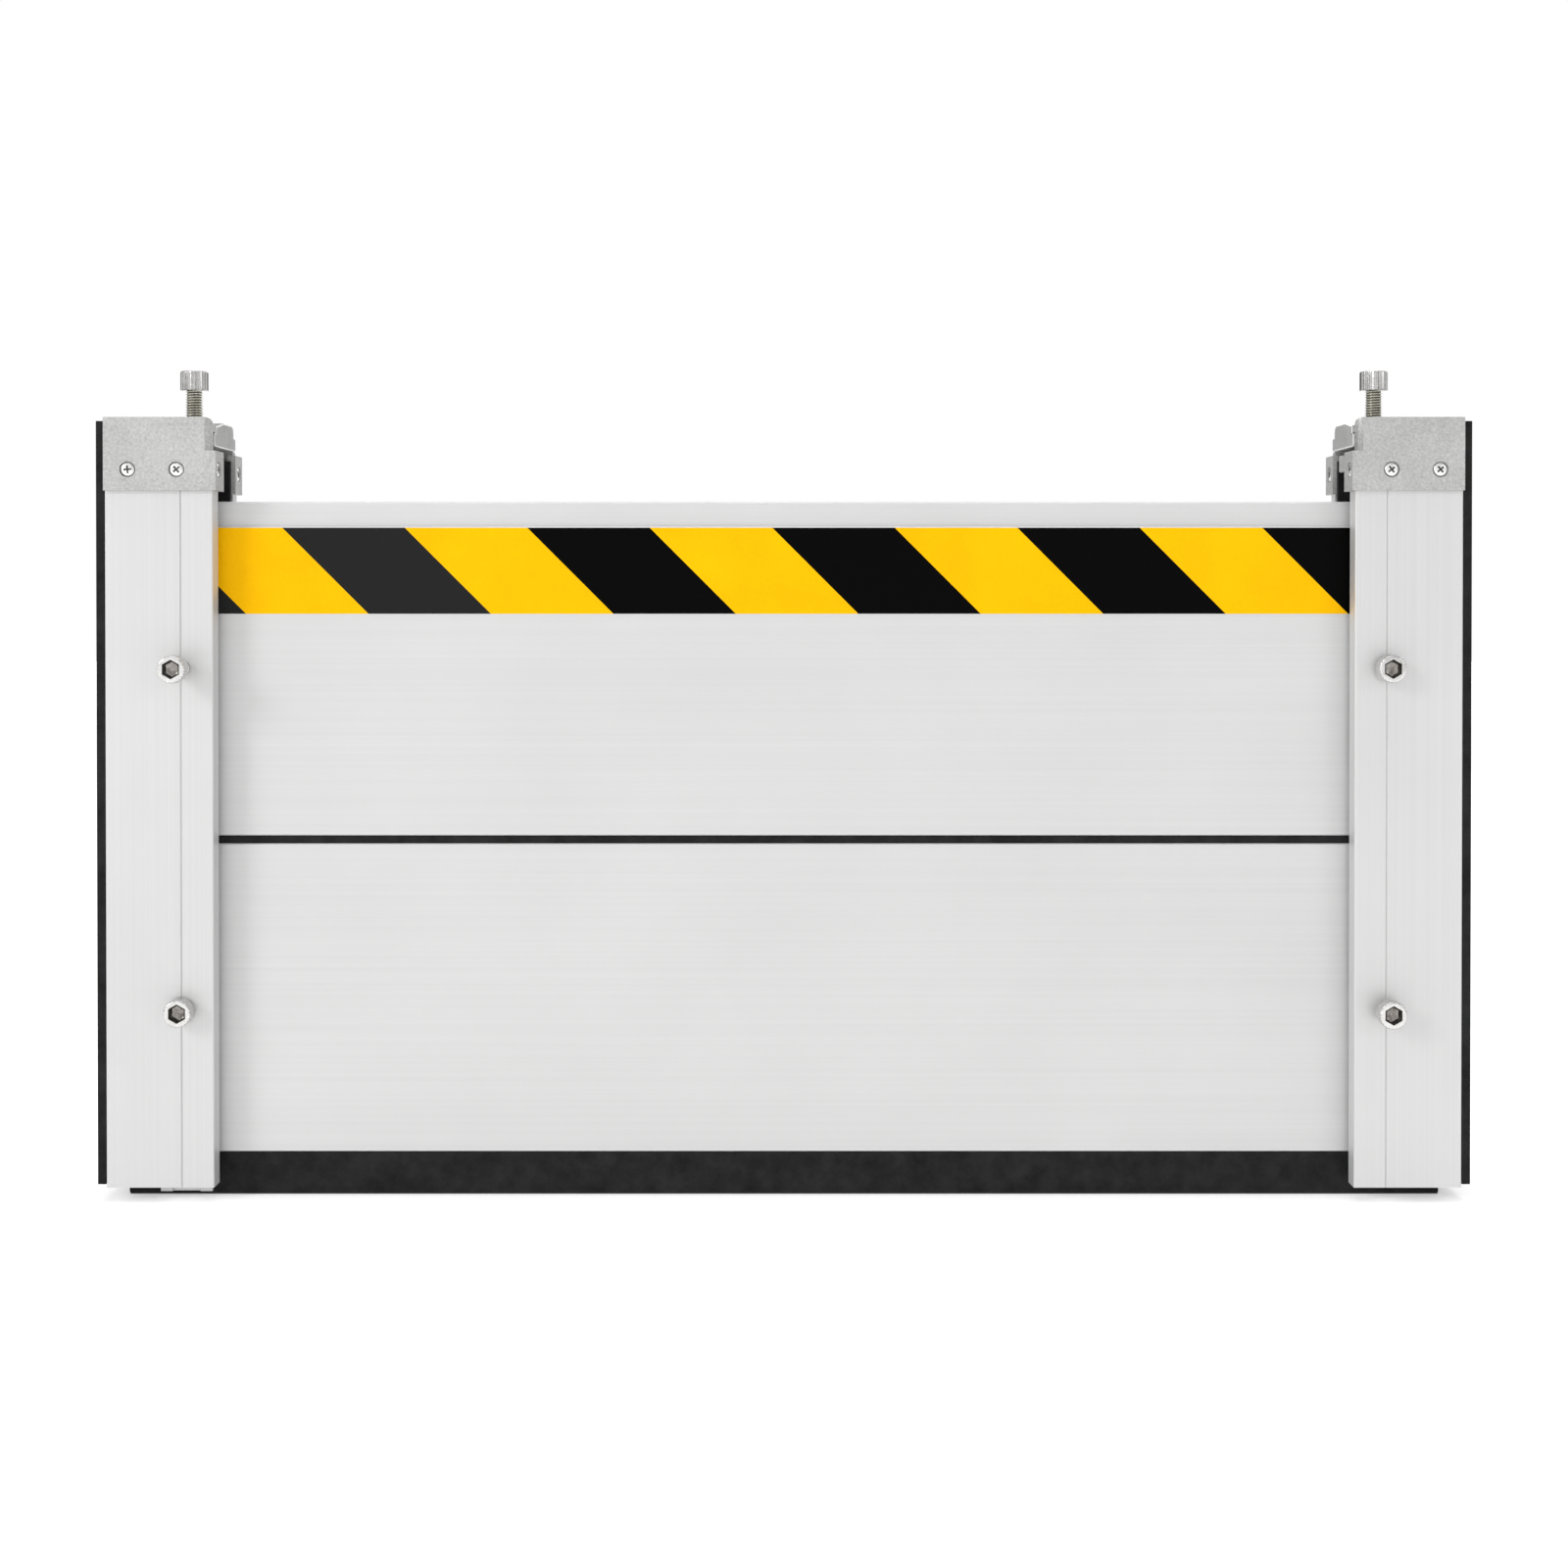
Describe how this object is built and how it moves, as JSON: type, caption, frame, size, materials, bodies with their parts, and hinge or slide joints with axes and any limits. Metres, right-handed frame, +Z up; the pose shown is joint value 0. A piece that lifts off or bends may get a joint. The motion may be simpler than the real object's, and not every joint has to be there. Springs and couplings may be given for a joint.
{
  "type": "demountable flood barrier",
  "caption": "Aluminium stop-log flood barrier: hollow panels stacked between two wall posts, clamped by socket screws against rubber seals.",
  "frame": {"origin": "centre of the floor seal's underside, on the floor, midway between the walls", "axes": "+X to the right along the barrier, -Y the front with the clamp screws, +Z up"},
  "size_m": [0.79, 0.083, 0.4807],
  "materials": {
    "post_aluminium": "satin anodised extrusion",
    "panel_aluminium": "satin anodised extrusion",
    "cast_metal": "bare die casting, blasted",
    "stainless_steel": "turned stainless steel",
    "small_screws": "bright plated steel",
    "black_rubber": "matt EPDM rubber",
    "nylon": "moulded black nylon",
    "warning_tape": "yellow and black hazard tape"
  },
  "bodies": {
    "frame": {"left_post": "post_aluminium", "left_cap": "cast_metal", "left_cap_screws": "small_screws", "left_wall_seal": "black_rubber", "left_slot_seal": "black_rubber", "right_post": "post_aluminium", "right_cap": "cast_metal", "right_cap_screws": "small_screws", "right_wall_seal": "black_rubber", "right_slot_seal": "black_rubber"},
    "left_press_bar": {"left_press_bar": "panel_aluminium"},
    "right_press_bar": {"right_press_bar": "panel_aluminium"},
    "left_upper_pad": {"left_upper_pad": "nylon"},
    "left_upper_screw": {"left_upper_screw": "stainless_steel"},
    "left_lower_pad": {"left_lower_pad": "nylon"},
    "left_lower_screw": {"left_lower_screw": "stainless_steel"},
    "right_upper_pad": {"right_upper_pad": "nylon"},
    "right_upper_screw": {"right_upper_screw": "stainless_steel"},
    "right_lower_pad": {"right_lower_pad": "nylon"},
    "right_lower_screw": {"right_lower_screw": "stainless_steel"},
    "left_carriage": {"left_carriage": "cast_metal"},
    "left_press_foot": {"left_press_foot": "cast_metal"},
    "left_press_screw": {"left_press_screw": "stainless_steel"},
    "right_carriage": {"right_carriage": "cast_metal"},
    "right_press_foot": {"right_press_foot": "cast_metal"},
    "right_press_screw": {"right_press_screw": "stainless_steel"},
    "lower_panel": {"lower_panel": "panel_aluminium", "lower_end_plugs": "nylon", "seam_gasket": "black_rubber", "floor_seal": "black_rubber"},
    "upper_panel": {"upper_panel": "panel_aluminium", "upper_end_plugs": "nylon", "hazard_tape": "warning_tape"}
  },
  "joints": [
    {"name": "left_press_bar_slide", "type": "slide", "parent": "frame", "child": "left_press_bar", "axis": [0, 1, 0], "range_m": [0, 0.0008]},
    {"name": "right_press_bar_slide", "type": "slide", "parent": "frame", "child": "right_press_bar", "axis": [0, 1, 0], "range_m": [0, 0.0008]},
    {"name": "left_upper_pad_slide", "type": "slide", "parent": "frame", "child": "left_upper_pad", "axis": [0, 1, 0], "range_m": [-0.00075, 0.01175]},
    {"name": "left_upper_screw_turn", "type": "hinge", "parent": "left_upper_pad", "child": "left_upper_screw", "pos_m": [-0.3465, -0.029, 0.3075], "axis": [0, 1, 0], "range_deg": [-180, 2820]},
    {"name": "left_lower_pad_slide", "type": "slide", "parent": "frame", "child": "left_lower_pad", "axis": [0, 1, 0], "range_m": [-0.01175, 0.00075]},
    {"name": "left_lower_screw_turn", "type": "hinge", "parent": "left_lower_pad", "child": "left_lower_screw", "pos_m": [-0.3465, -0.029, 0.1105], "axis": [0, 1, 0], "range_deg": [-2820, 180]},
    {"name": "right_upper_pad_slide", "type": "slide", "parent": "frame", "child": "right_upper_pad", "axis": [0, 1, 0], "range_m": [-0.0095, 0.003]},
    {"name": "right_upper_screw_turn", "type": "hinge", "parent": "right_upper_pad", "child": "right_upper_screw", "pos_m": [0.3465, -0.029, 0.3075], "axis": [0, 1, 0], "range_deg": [-2280, 720]},
    {"name": "right_lower_pad_slide", "type": "slide", "parent": "frame", "child": "right_lower_pad", "axis": [0, 1, 0], "range_m": [-0.0065, 0.006]},
    {"name": "right_lower_screw_turn", "type": "hinge", "parent": "right_lower_pad", "child": "right_lower_screw", "pos_m": [0.3465, -0.029, 0.1105], "axis": [0, 1, 0], "range_deg": [-1560, 1440]},
    {"name": "left_carriage_slide", "type": "slide", "parent": "frame", "child": "left_carriage", "axis": [1, 0, 0], "range_m": [0, 0.048]},
    {"name": "left_press_foot_slide", "type": "slide", "parent": "left_carriage", "child": "left_press_foot", "axis": [0, 0, 1], "range_m": [-0.01725, 0.00225]},
    {"name": "left_press_screw_turn", "type": "hinge", "parent": "left_press_foot", "child": "left_press_screw", "pos_m": [-0.3457, 0, 0.4692], "axis": [0, 0, 1], "range_deg": [-4140, 540]},
    {"name": "right_carriage_slide", "type": "slide", "parent": "frame", "child": "right_carriage", "axis": [-1, 0, 0], "range_m": [0, 0.048]},
    {"name": "right_press_foot_slide", "type": "slide", "parent": "right_carriage", "child": "right_press_foot", "axis": [0, 0, 1], "range_m": [-0.01725, 0.00225]},
    {"name": "right_press_screw_turn", "type": "hinge", "parent": "right_press_foot", "child": "right_press_screw", "pos_m": [0.3457, 0, 0.4692], "axis": [0, 0, 1], "range_deg": [-4140, 540]},
    {"name": "lower_panel_lift", "type": "slide", "parent": "frame", "child": "lower_panel", "axis": [0, 0, 1], "range_m": [0, 0.008]},
    {"name": "upper_panel_lift", "type": "slide", "parent": "lower_panel", "child": "upper_panel", "axis": [0, 0, 1], "range_m": [0, 0.0093]}
  ],
  "couplings": [
    {"joint": "left_upper_screw_turn", "follows": "left_upper_pad_slide", "rad_per_m": 4188.8},
    {"joint": "left_lower_screw_turn", "follows": "left_lower_pad_slide", "rad_per_m": 4188.8},
    {"joint": "right_upper_screw_turn", "follows": "right_upper_pad_slide", "rad_per_m": 4188.8},
    {"joint": "right_lower_screw_turn", "follows": "right_lower_pad_slide", "rad_per_m": 4188.8},
    {"joint": "left_press_screw_turn", "follows": "left_press_foot_slide", "rad_per_m": 4188.8},
    {"joint": "right_press_screw_turn", "follows": "right_press_foot_slide", "rad_per_m": 4188.8}
  ]
}
